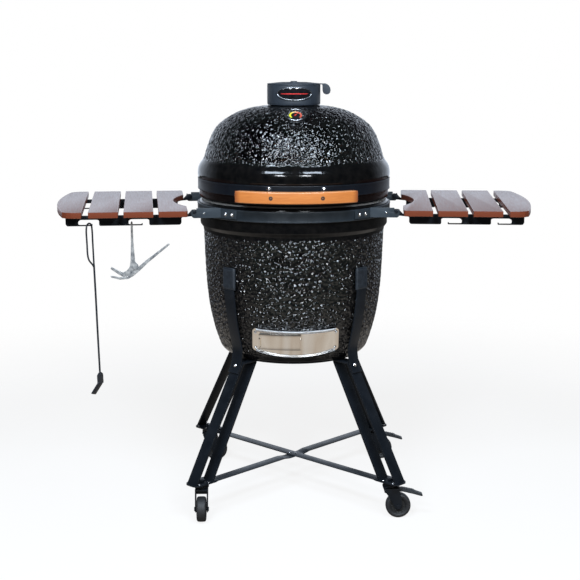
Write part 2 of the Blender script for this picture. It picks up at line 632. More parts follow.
def shell(name, outer, inner, peb_range, body, node, opening=None, floor=False):
    """A thick ceramic wall: a finely divided, pebbled outside and a plain fired inside, joined over the rim."""
    rows = [(z, r, 0) for z, r in outer] + [(z, r, 1) for z, r in inner]
    seg = SEG_BODY
    z = np.array([p[0] for p in rows])
    r = np.array([p[1] for p in rows])
    inside = np.array([p[2] for p in rows])
    ang = np.radians(-90 + 360.0 * np.arange(seg) / seg)
    dz, dr = np.gradient(z), np.gradient(r)
    length = np.maximum(np.hypot(dz, dr), 1e-9)
    nr, nz = dz / length, -dr / length
    flip = 1.0 if nr[len(outer) // 2] > 0 else -1.0
    nr, nz = nr * flip, nz * flip
    ramp = lambda t: np.clip(t, 0, 1) ** 2 * (3 - 2 * np.clip(t, 0, 1))
    mask = ramp((z - peb_range[0]) / 9.0) * ramp((peb_range[1] - z) / 9.0) * (1 - inside)
    verts = np.zeros((len(rows), seg, 3))
    verts[:, :, 0] = r[:, None] * np.cos(ang)
    verts[:, :, 1] = r[:, None] * np.sin(ang)
    verts[:, :, 2] = z[:, None]
    height = np.zeros((len(rows), seg))
    for i in range(len(rows)):
        if mask[i] > 0.001:
            row = verts[i]
            height[i] = [pebbles(p) for p in row.tolist()]
            height[i] *= mask[i]
        elif not inside[i]:
            height[i] = 0.0
    verts[:, :, 0] += (height * nr[:, None]) * np.cos(ang)
    verts[:, :, 1] += (height * nr[:, None]) * np.sin(ang)
    verts[:, :, 2] += height * nz[:, None]
    v = verts.reshape(-1, 3).tolist()
    faces, mats = [], []
    window = np.zeros((len(rows), seg), bool)
    if opening:
        zlo, zhi, jlo, jhi = opening
        col = lambda j: jlo <= ((j + seg // 2) % seg) - seg // 2 < jhi
        cols = [j % seg for j in range(jlo, jhi)]
    for i in range(len(rows) if not floor else len(rows) - 1):
        k = (i + 1) % len(rows)
        material = 1 if inside[i] and inside[k] else 0
        in_z = opening and zlo - 0.01 <= min(z[i], z[k]) and max(z[i], z[k]) <= zhi + 0.01
        for j in range(seg):
            if in_z and j in cols_set(cols):
                continue
            m = (j + 1) % seg
            faces.append([i * seg + j, i * seg + m, k * seg + m, k * seg + j])
            mats.append(material)
    if floor:  # closes the bottom outside and the hearth inside with a disc each
        first, last = 0, len(rows) - 1
        faces += [[first * seg + j for j in range(seg)][::-1], [last * seg + j for j in range(seg)]]
        mats += [0, 1]
    if opening:
        out_rows = [i for i in range(len(rows)) if not inside[i] and zlo - 0.01 <= z[i] <= zhi + 0.01]
        in_rows = [i for i in range(len(rows)) if inside[i] and zlo - 0.01 <= z[i] <= zhi + 0.01]
        out_rows.sort(key=lambda i: z[i])
        in_rows.sort(key=lambda i: z[i])
        for j in (jlo % seg, jhi % seg):
            faces.append([i * seg + j for i in out_rows] + [i * seg + j for i in in_rows[::-1]])
            mats.append(1)
        for a, b in ((out_rows[0], in_rows[0]), (out_rows[-1], in_rows[-1])):
            for j in range(jlo, jhi):
                j0, j1 = j % seg, (j + 1) % seg
                faces.append([a * seg + j0, a * seg + j1, b * seg + j1, b * seg + j0])
                mats.append(1)
    bm = bmesh.new()
    vs = [bm.verts.new(p) for p in v]
    for face, material in zip(faces, mats):
        try:
            bf = bm.faces.new([vs[i] for i in face])
            bf.material_index = material
        except ValueError:
            pass
    bmesh.ops.recalc_face_normals(bm, faces=bm.faces)
    bm.verts.index_update()
    used_faces = [[p.index for p in f.verts] for f in bm.faces]
    used_mats = [f.material_index for f in bm.faces]
    bm.free()
    peb = np.repeat(mask, seg)
    return piece(name, (np.array(v), used_faces), [GLAZE, CLAY], body, face_mat=used_mats, sharp=55, replaces=(node,), slot="glaze", attrs={"pebble": peb}, noise_seed=0)


_sets = {}


def cols_set(cols):
    key = (cols[0], cols[-1])
    if key not in _sets:
        _sets[key] = set(cols)
    return _sets[key]


def with_rows(points, heights):
    """Adds a row at each given height to a rising or falling profile."""
    out = [tuple(points[0])]
    for a, b in zip(points[:-1], points[1:]):
        crossing = sorted([h for h in heights if min(a[0], b[0]) + 0.05 < h < max(a[0], b[0]) - 0.05], reverse=a[0] > b[0])
        for h in crossing:
            t = (h - a[0]) / (b[0] - a[0])
            out.append((h, a[1] + (b[1] - a[1]) * t))
        out.append(tuple(b))
    return out


def lines(points, spacing):
    """A polyline with extra points at about the spacing given."""
    out = [tuple(points[0])]
    for a, b in zip(points[:-1], points[1:]):
        d = math.hypot(b[0] - a[0], b[1] - a[1])
        n = max(1, int(round(d / spacing)))
        out += [(a[0] + (b[0] - a[0]) * k / n, a[1] + (b[1] - a[1]) * k / n) for k in range(1, n + 1)]
    return out


BASE_CURVE = [
    (420, 196), (427, 203), (434.4, 207.6), (451, 213.5), (470, 220), (492, 226), (520, 232.5), (545, 237), (593, 243),
    (653, 247), (710, 249.4), (758, 250.9),
]
base_wall = spline(BASE_CURVE, STEP)


def bowl_radius(z):
    return float(np.interp(z, base_wall[:, 0], base_wall[:, 1]))


base_outer = (
    [(415.2, 150), (415.2, 176)] + fillet([(415.2, 176), (415.2, 186, 7), (420, 196)], 4, 4, closed=False)[1:-1]
    + [tuple(p) for p in base_wall]
    + fillet([(758, 250.9), (765, 252, 5), (775.5, 259.7, 7), (803.2, 259.7, 0.8), (804.2, 262, 0.7), (836.5, 262, 4), (840.9, 257.5, 2.5), (840.9, 238)], 3, 5, closed=False)[1:]
)
base_inner = lines([(840.9, 236.2), (760, 226), (600, 216), (500, 196), (450, 165), (436, 140), (436, 60)], 16)
OPEN_LOW, OPEN_HIGH = 458.0, 496.0
base_outer = with_rows(base_outer, [OPEN_LOW, OPEN_HIGH])
base_inner = with_rows(base_inner, [OPEN_LOW, OPEN_HIGH])
_j0, _j1 = int(round(-23.2 / 360 * SEG_BODY)), int(round(1.0 / 360 * SEG_BODY))
shell("base_ceramic", base_outer, base_inner, (424, 758), "base", "base_shell", opening=(OPEN_LOW, OPEN_HIGH, _j0, _j1), floor=True)

dome = spline(
    [(903.2, 264.6), (909, 265.5), (918, 265.5), (930, 263.4), (940, 258.6), (948, 252.6), (957, 248), (973, 243.4), (989, 238.2), (1008, 231), (1024, 223.5),
     (1042, 210.5), (1056, 194.5), (1069, 174), (1080, 152), (1090, 119), (1095.2, 85), (1097.2, 64)],
    STEP,
)
lid_outer = (
    fillet([(846.0, 240), (846.0, 256.2, 1.5), (851, 261.8, 4.5), (900.6, 261.8, 0.6), (901.4, 264, 0.8), (903.2, 264.6)], 3, 5, closed=False)[1:-1]
    + [tuple(p) for p in dome] + fillet([(1097.2, 64), (1097.6, 50.2, 2), (1090, 50)], 2, 4, closed=False)[1:-1]
)
lid_inner = lines([(1089, 50), (1074, 52), (1064, 105), (1030, 176), (985, 211), (900, 232), (846.0, 238.4)], 16)
shell("lid_ceramic", lid_outer, lid_inner, (949, 1099), "lid", "lid_shell")


def ring_profile(r0, r1, z0, z1, r=1.0):
    return fillet([(z0, r0), (z0, r1), (z1, r1), (z1, r0)], r, 4)


def ring_piece(name, prof, mat, body, replaces, slot, seg=192, **kw):
    return piece(name, lathe(prof, seg, closed=True), mat, body, replaces=replaces, slot=slot, **kw)


def fuzz(mesh, amount, scale):
    v, f = mesh
    v = np.array([np.array(p) + np.array(noise.noise_vector(Vector(p) / scale)) * amount for p in v.tolist()])
    return v, f


piece("base_gasket_felt", fuzz(lathe(ring_profile(240.2, 255.8, 841.3, 843.2, 0.7), 384, True), 0.25, 3.0), FELT, "base", replaces=("base_gasket",), slot="felt")
piece("lid_gasket_felt", fuzz(lathe(ring_profile(240.2, 255.8, 843.5, 845.4, 0.7), 384, True), 0.25, 3.0), FELT, "lid", replaces=("lid_gasket",), slot="felt")

# clamp bands: a flat strap with its edges turned over
piece(
    "base_band_strap",
    lathe(fillet([(805, 262.4), (805, 267.6, 1.1), (808.4, 267.9, 0.8), (808.9, 267.1, 0.6), (830.1, 267.1, 0.6), (830.6, 267.9, 0.8), (834, 267.6, 1.1), (834, 262.4)], 0.6, 4), 288, True),
    BAND, "base", replaces=("base_band",), slot="band", sharp=40,
)
lid_band_parts = [lathe(fillet([(871, 262.4), (871, 265.6, 1.0), (874, 265.9, 0.7), (874.4, 265.3, 0.5), (897.6, 265.3, 0.5), (898, 265.9, 0.7), (901, 265.6, 1.0), (901, 262.4)], 0.6, 4), 288, True)]
for a in (-16.4, 16.4):
    arm = fillet([(-11, -264.5), (-11, -280, 4), (-8.5, -287.1, 1), (8.5, -287.1, 1), (11, -280, 4), (11, -264.5)], 2, 4)
    v, f = bevelled(*prism(arm, 872, 884), 0.9, 3)
    lid_band_parts.append((apply_matrix(v, turn(a)), f))
    plate = fillet([(-9, 872), (9, 872), (9, 898), (-9, 898)], 5, 5)
    v, f = bevelled(*prism([(x, z) for x, z in plate], -268.4, -265.2, "XZ"), 0.6, 2)
    lid_band_parts.append((apply_matrix(v, turn(a * 0.95)), f))
piece("lid_band_strap", merge(*lid_band_parts), LIDBAND, "lid", replaces=("lid_band",), slot="band", sharp=40)


def dome_bolt(at, normal, r, h, washer=True, hexagon=False, socket=True):
    """A screw head on a surface: a washer and a domed or six-sided head."""
    prof = []
    if washer:
        prof += [(-0.6, 0), (-0.6, r * 1.45), (0.6, r * 1.5), (0.9, r * 1.35)]
    else:
        prof += [(-0.6, 0), (-0.6, r)]
    prof += [(0.9, r)]
    for k in range(1, 7):
        a = math.pi / 2 * k / 6
        prof.append((0.9 + (h - 0.9) * math.sin(a), max(r * math.cos(a), r * 0.42 if socket else 0.0)))
    if socket:
        prof += [(h * 0.62, r * 0.38), (h * 0.6, 0)]
    elif prof[-1][1] > 0:
        prof.append((h, 0))
    v, f = lathe(prof, 6 if hexagon else 20)
    q = Vector((0, 0, 1)).rotation_difference(Vector(normal).normalized()).to_matrix().to_4x4()
    return apply_matrix(v, shift(*at) @ q), f


def on_ring(angle, r, z):
    a = math.radians(angle - 90)
    return (r * math.cos(a), r * math.sin(a), z), (math.cos(a), math.sin(a), 0)


bolts = []
for a in (-15.6, 15.6):
    p, nrm = on_ring(a, 268.2, 892.5)
    bolts.append(dome_bolt(p, nrm, 3.4, 3.4, washer=True, socket=False))
piece("band_bolts", merge(*bolts), BRIGHT, "lid", slot="chrome", sharp=40)

# ------------------------------------------------------------------ handle
H_HALF, H_MID, H_Z0, H_Z1 = 31.2, 299.0, 859.2, 889.8
n_h = 84
section = fillet([(-10.8, 859.2), (10.8, 859.2), (10.8, 889.8), (-10.8, 889.8)], 3.4, 5)
ends = [0.0, 0.5, 1.2, 2.2]
hv, hf, hg = [], [], []
angles = np.linspace(-H_HALF, H_HALF, n_h)
stations = []
for k, a in enumerate(angles):
    stations.append((a, 1.0, 0.0))
inset = [(0.0, 3.0), (0.7, 1.6), (1.8, 0.6), (3.2, 0.0)]  # (distance in from the end, section shrink)
first = [(-H_HALF + math.degrees(d / H_MID), s) for d, s in inset]
last = [(H_HALF - math.degrees(d / H_MID), s) for d, s in inset[::-1]]
rows_h = first + [(a, 0.0) for a in angles if -H_HALF + 0.9 < a < H_HALF - 0.9] + last
zc = (H_Z0 + H_Z1) / 2
for a, shrink in rows_h:
    for u, z in section:
        uu = math.copysign(max(abs(u) - shrink, 0.1), u)
        zz = zc + math.copysign(max(abs(z - zc) - shrink, 0.1), z - zc)
        (x, y, _), _n = on_ring(a, H_MID + uu, zz)
        hv.append((x, y, zz))
        hg.append((math.radians(a) * H_MID, H_MID + uu, zz))
m = len(section)
for i in range(len(rows_h) - 1):
    for k in range(m):
        hf.append([i * m + k, i * m + (k + 1) % m, (i + 1) * m + (k + 1) % m, (i + 1) * m + k])
hf += [list(range(m))[::-1], [(len(rows_h) - 1) * m + k for k in range(m)]]
piece("handle_wood_bar", bevelled(hv, hf, 0), BARWOOD, "lid", replaces=("handle_bar",), slot="handle_wood", grain=hg, sharp=60, noise_seed=0)
screws = []
for a in (-12.4, 12.4):
    p, nrm = on_ring(a, 309.2, 874)
    q = Vector((0, 0, 1)).rotation_difference(Vector(nrm)).to_matrix().to_4x4()
    v, f = lathe([(0.2, 0), (0.2, 1.2), (0.9, 1.5), (0.9, 3.3), (0.65, 4.6), (1.15, 5.1), (-0.6, 5.3), (-0.6, 0)], 28)
    screws.append((apply_matrix(v, shift(*p) @ q), f))
piece("handle_screws", merge(*screws), HUB, "lid", slot="band", sharp=40)

# ------------------------------------------------------------------ top vent
CAP_R, CAP_Z0, CAP_Z1 = 73.0, 1098.3, 1152.0
port = [math.radians(90 + 72 * i) for i in range(5)]
collar = lathe(
    fillet([(1098.3, 52, 1), (1098.3, 72.2, 1.2), (1104, 73, 6), (1151.8, 73, 1.4), (1151.8, 5, 0.3), (1147, 5, 0.3), (1147, 66, 2), (1103.3, 66, 2), (1103.3, 52, 1)], 1, 4), 144, True
)
collar = cut_holes(collar, [cyl((42 * math.cos(a), 42 * math.sin(a), 1138), (42 * math.cos(a), 42 * math.sin(a), 1160), 14, 32) for a in port])
piece("vent_collar_cast", collar, IRON, "lid", replaces=("vent_collar",), slot="iron", sharp=35)
z = 1152.3
disc = lathe(
    [(1144, 0), (1144, 4.3), (z, 4.4)] + fillet([(z, 4.5), (z, 73, 0.9), (z + 3.0, 73, 1.2), (z + 6.2, 40, 30), (z + 7.0, 14, 4), (z + 7.0, 10.4)], 1, 5, closed=False)[1:]
    + fillet([(z + 7.0, 10.4), (z + 7.2, 9.2, 0.4), (z + 9.4, 8.6, 1.2), (z + 9.4, 0)], 1, 4, closed=False)[1:-1] + [(z + 9.4, 0)],
    144,
)
disc = cut_holes(disc, [cyl((42 * math.cos(a + math.radians(36)), 42 * math.sin(a + math.radians(36)), 1145), (42 * math.cos(a + math.radians(36)), 42 * math.sin(a + math.radians(36)), 1170), 14, 32) for a in port])
lobe = fillet(
    [(66, z + 0.3, 0.4), (78.5, z + 0.3, 3), (79.0, 1136, 6), (81.5, 1128.4, 6), (88, 1125.2, 6), (94.5, 1126, 6), (99.4, 1130, 6), (101, 1137, 6), (99.5, 1144.5, 8), (95, 1151.2, 8), (88, 1155.2, 6), (66, 1155.6, 0.4)],
    4, 6,
)
piece("vent_disc_cast", merge(disc, bevelled(*prism(lobe, -4.5, 4.5, "XZ"), 1.3, 3)), IRON, "top_vent", replaces=("vent_disc",), slot="iron", sharp=35)
piece("vent_nut", cyl((0, 0, 1159.5), (0, 0, 1161.6), 7.6, 6, 0.7), BLACK, "top_vent", slot="iron")


def on_cap(s, z_, off):
    """A point on the vent collar: arc length s from the front, height, and stand-off."""
    a = s / CAP_R - math.pi / 2
    return ((CAP_R + off) * math.cos(a), (CAP_R + off) * math.sin(a), z_)


BA, BB, BZ = 48.5, 16.6, 1129.5
oval = [(BA * math.cos(t), BB * math.sin(t)) for t in np.linspace(0, 2 * math.pi, 96, endpoint=False)]
piece("badge_rim", tube([on_cap(s, BZ + w, 1.0) for s, w in oval], 1.75, 12, True), RIM, "lid", slot="chrome")
bv, bf = [], []
levels = [(1.0, -0.2), (0.985, 0.7), (0.93, 1.05), (0.8, 1.35), (0.6, 1.6), (0.4, 1.75), (0.2, 1.82)]
for k, off in levels:
    bv += [on_cap(s * k, BZ + w * k, off) for s, w in oval]
for i in range(len(levels) - 1):
    bf += [[i * 96 + j, i * 96 + (j + 1) % 96, (i + 1) * 96 + (j + 1) % 96, (i + 1) * 96 + j] for j in range(96)]
bv.append(on_cap(0, BZ, 1.85))
bf += [[(len(levels) - 1) * 96 + j, (len(levels) - 1) * 96 + (j + 1) % 96, len(bv) - 1] for j in range(96)]
bf.append([j for j in range(96)][::-1])
piece("badge_field", (bv, bf), ENAMEL, "lid", slot="iron", sharp=50)
stripe = []
for s0, s1, w, off, half in ((-38, 38, 0, 1.75, 1.5),):
    sv, sf = [], []
    ss = np.linspace(s0, s1, 49)
    for s in ss:
        t = half * (1 - 0.55 * (abs(s) / s1) ** 3)
        lift = 1.95 - 0.75 * (s / BA) ** 2 - 0.1
        for dz_, do in ((-t, 0), (-t * 0.8, 0.35), (t * 0.8, 0.35), (t, 0)):
            sv.append(on_cap(s, BZ + w + dz_, lift + do - 0.1))
    for i in range(len(ss) - 1):
        for k in range(3):
            sf.append([i * 4 + k, i * 4 + k + 1, (i + 1) * 4 + k + 1, (i + 1) * 4 + k])
        sf.append([i * 4 + 3, i * 4, (i + 1) * 4, (i + 1) * 4 + 3])
    sf += [[0, 1, 2, 3], [(len(ss) - 1) * 4 + k for k in (3, 2, 1, 0)]]
    stripe.append(bevelled(sv, sf, 0))
piece("badge_stripe", merge(*stripe), REDLINE, "lid", slot="pointer")

# ------------------------------------------------------------------ thermometer
TG = shift(0, -172, 1070.7) @ turn(31, "X")  # local Z is the face normal, local Y points up the dome
case = [(-62, 0), (-62, 4.2), (-58, 5.3), (1.2, 5.4)] + fillet([(1.2, 5.4), (1.2, 25.4, 0.8), (2.6, 26.6, 1), (7.4, 26.9, 1), (8.2, 27.4, 0.6), (11.2, 27.4, 1.2), (12.0, 26.2, 0.8), (12.0, 24.6, 0.6), (10.4, 23.4, 0.6), (8.5, 23.3, 0.3), (8.45, 0)], 1, 4, closed=False)[1:-1] + [(8.45, 0)]
piece("thermometer_bezel", lathe(case, 72), RIM, "lid", TG, replaces=("thermometer_case",), slot="chrome", sharp=35)
piece("thermometer_dial", lathe([(8.5, 0), (8.5, 22.9), (8.75, 22.9), (8.75, 0)], 64), DIAL, "lid", TG, slot="iron")
av, af = [], []
arc_a = np.linspace(math.radians(-138), math.radians(138), 73)
for a in arc_a:
    for r_, zz in ((12.2, 8.76), (12.3, 8.95), (16.9, 8.95), (17.0, 8.76)):
        av.append((r_ * math.sin(a), r_ * math.cos(a), zz))
for i in range(72):
    for k in range(4):
        af.append([i * 4 + k, i * 4 + (k + 1) % 4, (i + 1) * 4 + (k + 1) % 4, (i + 1) * 4 + k])
af += [[0, 1, 2, 3], [72 * 4 + k for k in (3, 2, 1, 0)]]
piece("thermometer_scale", bevelled(av, af, 0), ARC, "lid", TG, grain=bevelled(av, af, 0)[0], slot="pointer", noise_seed=0)
ticks = []
for k in range(13):
    a = math.radians(-138 + 23 * k)
    v, f = block(-0.45, 0.45, 18.2, 21.6 if k % 2 == 0 else 20.0, 8.74, 8.95)
    ticks.append((apply_matrix(v, turn(-math.degrees(a))), f))
piece("thermometer_marks", merge(*ticks), WHITE, "lid", TG, slot="chrome")
needle = merge(
    bevelled(*prism([(-1.2, -5.5), (1.2, -5.5), (0.45, 16.6), (-0.45, 16.6)], 9.3, 10.0), 0.2, 1),
    cyl((0, 0, 9.2), (0, 0, 10.6), 2.6, 24, 0.5),
)
needle = (apply_matrix(needle[0], turn(-35)), needle[1])
piece("thermometer_pointer", needle, NEEDLE, "gauge_needle", TG, replaces=("thermometer_needle",), slot="pointer")
piece("thermometer_lens", lathe([(10.68, 0), (10.68, 23.3), (11.3, 23.3), (11.7, 18), (12.0, 11), (12.1, 5), (12.15, 0)], 64), LENS, "lid", TG, slot="chrome")

# ------------------------------------------------------------------ draught door
def on_bowl(x, z_, off):
    r_ = bowl_radius(z_) + off
    return (x, -math.sqrt(max(r_ * r_ - x * x, 1.0)), z_)


HALF_W = 116.0
top_z = lambda x: 511 + 5 * (x / HALF_W) ** 2
bot_z = lambda x: 434 + 16 * (x / HALF_W) ** 2


def corner(x, r_=9.0):
    """How far a rounded end pulls in the top and bottom edges."""
    d = HALF_W - abs(x)
    return r_ - math.sqrt(max(0.0, r_ * r_ - (r_ - min(d, r_)) ** 2))


def sheet(xs, ts, low, high, off0, off1, hole=None):
    """A closed sheet on the bowl between two edge curves and two stand-offs. hole says which cells are left out."""
    nx, nt = len(xs), len(ts)
    v = []
    for off in (off0, off1):
        for x in xs:
            for t in ts:
                v.append(on_bowl(x, low(x) + (high(x) - low(x)) * t, off(t) if callable(off) else off))
    idx = lambda s_, i, k: s_ * nx * nt + i * nt + k
    keep = {(i, k) for i in range(nx - 1) for k in range(nt - 1) if not (hole and hole((xs[i] + xs[i + 1]) / 2, (ts[k] + ts[k + 1]) / 2))}
    f = []
    for i, k in keep:
        f.append([idx(0, i, k), idx(0, i, k + 1), idx(0, i + 1, k + 1), idx(0, i + 1, k)])
        f.append([idx(1, i, k), idx(1, i + 1, k), idx(1, i + 1, k + 1), idx(1, i, k + 1)])
        for (di, dk), (p, q) in {(-1, 0): ((i, k), (i, k + 1)), (1, 0): ((i + 1, k), (i + 1, k + 1)), (0, -1): ((i, k), (i + 1, k)), (0, 1): ((i, k + 1), (i + 1, k + 1))}.items():
            if (i + di, k + dk) not in keep:
                f.append([idx(0, *p), idx(0, *q), idx(1, *q), idx(1, *p)])
    used = sorted({a for face in f for a in face})
    remap = {a: n for n, a in enumerate(used)}
    return np.array([v[a] for a in used]), [[remap[a] for a in face] for face in f]


corner_x = [HALF_W - d for d in (0.0, 0.35, 1.0, 2.0, 3.4, 5.2, 7.2, 9.0)]
xs = sorted(set([-x for x in corner_x] + corner_x + list(np.linspace(-104, 104, 53)) + [-90.0, 0.0]))
ts = sorted(set([0, 0.04, 0.32, 0.72, 0.96, 1.0] + list(np.linspace(0.08, 0.92, 13))))
low_edge = lambda x: bot_z(x) + corner(x)
high_edge = lambda x: top_z(x) - corner(x)
plate = sheet(xs, ts, low_edge, high_edge, 0.5, 2.6, hole=lambda x, t: -90 < x < 0 and 0.32 < t < 0.72)
plate = bevelled(*plate, 0.35, 1, 50)


def lip(z_of, r_, off, x_end, n_=61):
    """A rolled bead along an edge of the plate."""
    pts = [on_bowl(x, z_of(x), off) for x in np.linspace(-x_end, x_end, n_)]
    rad_ = [r_ * min(1.0, 0.45 + 0.55 * (min(k, n_ - 1 - k) / 4.0)) for k in range(n_)]
    return tube(pts, rad_, 14)


top_lip = sheet(
    [x for x in xs if abs(x) <= 107.1], np.linspace(0, 1, 9), lambda x: top_z(x) - 8.0, lambda x: top_z(x) - 0.3, 0.6,
    lambda t: 2.7 + 6.6 * math.sin(math.pi * min(1.0, 0.08 + t * 0.92) * 0.62) ** 1.3 * (1.0 if t < 0.93 else 0.82),
)
bottom_lip = sheet(
    [x for x in xs if abs(x) <= 107.1], np.linspace(0, 1, 7), lambda x: bot_z(x) + 0.2, lambda x: bot_z(x) + 5.0, 0.6,
    lambda t: 2.7 + 6.0 * math.sin(math.pi * (0.92 - t * 0.84)) ** 0.9,
)
piece("draft_plate", merge(plate, top_lip, bottom_lip), [PLATE, LIP, LIP_LOW], "base", face_mat=[0] * len(plate[1]) + [1] * len(top_lip[1]) + [2] * len(bottom_lip[1]), replaces=("draft_frame",), slot="stainless", sharp=40, noise_seed=0)
screen_xs = sorted(set([-97.0, 5.0] + [-84 + i * 10.5 for i in range(8)] + [-80 + i * 10.5 for i in range(8)] + list(np.linspace(-95, 3, 21))))
screen_sheet = sheet(screen_xs, [0, 0.16, 0.5, 0.84, 1.0], lambda x: 457, lambda x: 501, 3.7, 4.9, hole=lambda x, t: 0.16 < t < 0.84 and any(-84 + i * 10.5 < x < -80 + i * 10.5 for i in range(8)))
piece("draft_screen_sheet", bevelled(*screen_sheet, 0), SCREEN, "base", replaces=("draft_screen",), slot="stainless", sharp=40, noise_seed=0)
door_xs = sorted(set([-99.0, 14.0, -96.0, 11.0] + list(np.linspace(-95, 10, 36))))
door_sheet = sheet(door_xs, [0, 0.03, 0.25, 0.5, 0.75, 0.97, 1.0], lambda x: 457, lambda x: 501, 6.6, lambda t: 8.0 if 0.01 < t < 0.99 else 7.6)


def tab(x, z0, z1):
    prof = [(0, z0), (0, z1)]
    v, f = [], []
    zs = np.linspace(z0, z1, 9)
    for off in (6.7, 10.5, 13.0, 14.0):
        for xx in (x + (0.0 if off < 13.9 else 0.5), x + 3 - (0.0 if off < 13.9 else 0.5)):
            for k, zz in enumerate(zs):
                pull = 2.0 if off > 13.5 and k in (0, 8) else (0.6 if off > 12.5 and k in (0, 8) else 0.0)
                v.append(on_bowl(xx, zz + (pull if k == 0 else -pull if k == 8 else 0), off))
    n_ = len(zs)
    ix = lambda o_, s_, k: (o_ * 2 + s_) * n_ + k
    for o_ in range(3):
        for s_ in (0, 1):
            f += [[ix(o_, s_, k), ix(o_, s_, k + 1), ix(o_ + 1, s_, k + 1), ix(o_ + 1, s_, k)] for k in range(n_ - 1)]
        for k in (0, n_ - 1):
            f.append([ix(o_, 0, k), ix(o_, 1, k), ix(o_ + 1, 1, k), ix(o_ + 1, 0, k)])
    for o_ in (0, 3):
        f += [[ix(o_, 0, k), ix(o_, 0, k + 1), ix(o_, 1, k + 1), ix(o_, 1, k)] for k in range(n_ - 1)]
    return bevelled(v, f, 0.3, 2, 40)


piece("draft_slider", merge(bevelled(*door_sheet, 0.25, 1, 60), tab(11, 458, 492), tab(-99, 460, 490)), PLATE, "draft_door", replaces=("draft_door",), slot="stainless", sharp=40, noise_seed=0)
plate_screws = []
for x, zz in ((-108, 503.5), (-106, 459), (108, 503.5), (106, 459)):
    p = on_bowl(x, zz, 2.6)
    plate_screws.append(dome_bolt(p, (p[0], p[1], -40), 3.1, 2.4, washer=True, socket=False))
piece("draft_screws", merge(*plate_screws), BRIGHT, "base", slot="zinc", sharp=40)

# ------------------------------------------------------------------ inside
piece("fire_bowl", fuzz(lathe(fillet([(436.6, 98), (436.6, 131.8, 4), (452, 149.6, 20), (500, 181.6, 40), (600, 197.6, 30), (659.9, 199.6, 3), (659.9, 178, 3), (600, 174, 30), (510, 158, 20), (480, 134, 2), (480, 98, 2)], 2, 5), 144, True), 0.35, 14), CLAY, "base", replaces=("firebox",), slot="refractory", sharp=50)
piece("fire_ring_clay", fuzz(lathe(fillet([(660.4, 180.2), (660.4, 199.8, 3), (769.8, 205.8, 3), (769.8, 188.2, 3)], 3, 5), 144, True), 0.35, 14), CLAY, "base", replaces=("fire_ring",), slot="refractory", sharp=50)
grate_plate = lathe(fillet([(480.5, 0.01), (480.5, 128.6, 1.2), (486.8, 128.6, 1.4), (486.8, 0.01)], 1.2, 4, closed=False), 96)
grate_plate = lathe([(480.5, 0)] + fillet([(480.5, 0), (480.5, 128.6, 1.2), (486.8, 128.6, 1.4), (486.8, 0)], 1.2, 4, closed=False)[1:-1] + [(486.8, 0)], 96)
slots = []
for i in range(-3, 4):
    x, l = i * 30, math.sqrt(112 * 112 - (i * 30) ** 2) - 4
    slots.append(prism(fillet([(x - 6, -l), (x + 6, -l), (x + 6, l), (x - 6, l)], 5.9, 5), 470, 500))
piece("charcoal_grate_cast", cut_holes(grate_plate, slots), GRATE, "base", replaces=("charcoal_grate",), slot="iron", sharp=35)
grid = [tube([(214 * math.cos(a), 214 * math.sin(a), 773.4) for a in np.linspace(0, 2 * math.pi, 96, endpoint=False)], 3.0, 10, True)]
for i in range(-12, 13):
    x = i * 16
    l = math.sqrt(213.5**2 - x * x)
    grid.append(tube([(x, -l, 773.4), (x, -l * 0.5, 773.4), (x, 0, 773.4), (x, l * 0.5, 773.4), (x, l, 773.4)], 1.95, 8))
for y in (-93.5, 93.5):
    l = math.sqrt(213.5**2 - y * y)
    grid.append(tube([(-l + 8, y, 773.4), (0, y, 773.4), (l - 8, y, 773.4)], 2.4, 8))
piece("cooking_grid", merge(*grid), STEEL, "base", replaces=("cooking_grate",), slot="stainless", sharp=50)

# ------------------------------------------------------------------ lid hinge
HY, HZ = 298.0, 843.0
ear_low = fillet([(269, 808, 2), (282, 812, 10), (300, 827, 10), (309, 838, 6), (309.4, 846, 6), (303, 854.6, 6), (293, 855.6, 6), (284, 850, 6), (273, 836, 3), (269, 834, 1)], 5, 5)
ear_high = fillet([(267.2, 874, 2), (279, 860, 6), (285, 842, 5), (292, 833, 5), (303, 833, 5), (309.2, 841, 5), (309, 850, 5), (280, 899, 12), (273, 902.6, 3), (267.2, 902.6, 1)], 5, 5)


def hinge_plate(x0, x1, y0, y1, z0, z1):
    return bevelled(*prism(fillet([(x0, z0), (x1, z0), (x1, z1), (x0, z1)], 6, 5), y0, y1, "XZ"), 0.8, 2)


low_parts = [hinge_plate(-66, 66, 268.5, 273, 806, 836)] + [bevelled(*prism(ear_low, a, b, "YZ"), 0.8, 2) for a, b in ((60, 66), (-66, -60))]
piece("hinge_base_leaf", merge(*low_parts), BAND, "base", replaces=("hinge_lower_bracket",), slot="band", sharp=40)
high_parts = [hinge_plate(-58, 58, 266.6, 271, 872, 902.6)] + [bevelled(*prism(ear_high, a, b, "YZ"), 0.8, 2) for a, b in ((52, 58), (-58, -52))]
piece("hinge_lid_leaf", merge(*high_parts), BAND, "lid", replaces=("hinge_upper_bracket",), slot="band", sharp=40)
piece("hinge_pin_rod", merge(cyl((-70.6, HY, HZ), (70.6, HY, HZ), 5, 32, 0.6), cyl((-71, HY, HZ), (-66.5, HY, HZ), 8.4, 6, 0.9), cyl((66.5, HY, HZ), (71, HY, HZ), 8.4, 6, 0.9)), ZINC, "base", replaces=("hinge_pin",), slot="zinc", sharp=40)
turns = np.linspace(0, 2 * math.pi * 9, 9 * 28)
coil = [(-44 + 88 * t / turns[-1], HY + 8.6 * math.cos(t), HZ + 8.6 * math.sin(t)) for t in turns]
piece("hinge_spring_coil", tube(coil, 2.1, 10), ZINC, "base", replaces=("hinge_spring",), slot="zinc", sharp=60)
piece("hinge_bolts_low", merge(*[dome_bolt((x, 273.0, 821), (0, 1, 0), 4.2, 3.6, True, False) for x in (-44, -15, 15, 44)]), BRIGHT, "base", slot="zinc", sharp=40)
